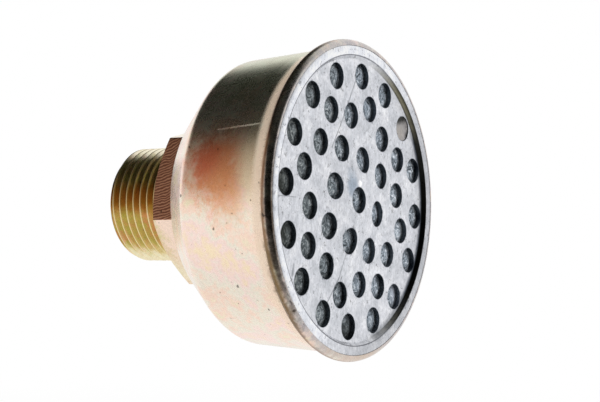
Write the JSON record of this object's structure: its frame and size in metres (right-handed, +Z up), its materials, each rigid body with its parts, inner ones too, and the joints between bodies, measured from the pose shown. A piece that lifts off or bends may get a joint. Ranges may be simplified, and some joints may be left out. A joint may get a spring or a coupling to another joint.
{
  "type": "compressor air filter",
  "caption": "Round intake air filter: a deep-drawn steel cup on a threaded hexagon fitting, with a felt pad behind a perforated pressed plate.",
  "frame": {"origin": "centre of the hexagon's thread-side face, which seats on the compressor's port", "axes": "+Y runs along the thread and out of its end, the perforated face looks along -Y, +Z is up"},
  "size_m": [0.0522, 0.0449, 0.0522],
  "materials": {
    "fitting_steel": "turned steel, zinc plated and yellow chromated, satin",
    "cup_steel": "drawn sheet steel, zinc plated and yellow chromated, satin",
    "screen_steel": "galvanised sheet, matt",
    "felt": "grey felt",
    "plate_steel": "galvanised sheet, lightly scratched"
  },
  "bodies": {
    "root": {"threaded_fitting": "fitting_steel", "filter_cup": "cup_steel", "support_screen": "screen_steel", "filter_pad": "felt", "perforated_plate": "plate_steel", "punch_slug": "plate_steel"}
  },
  "joints": []
}
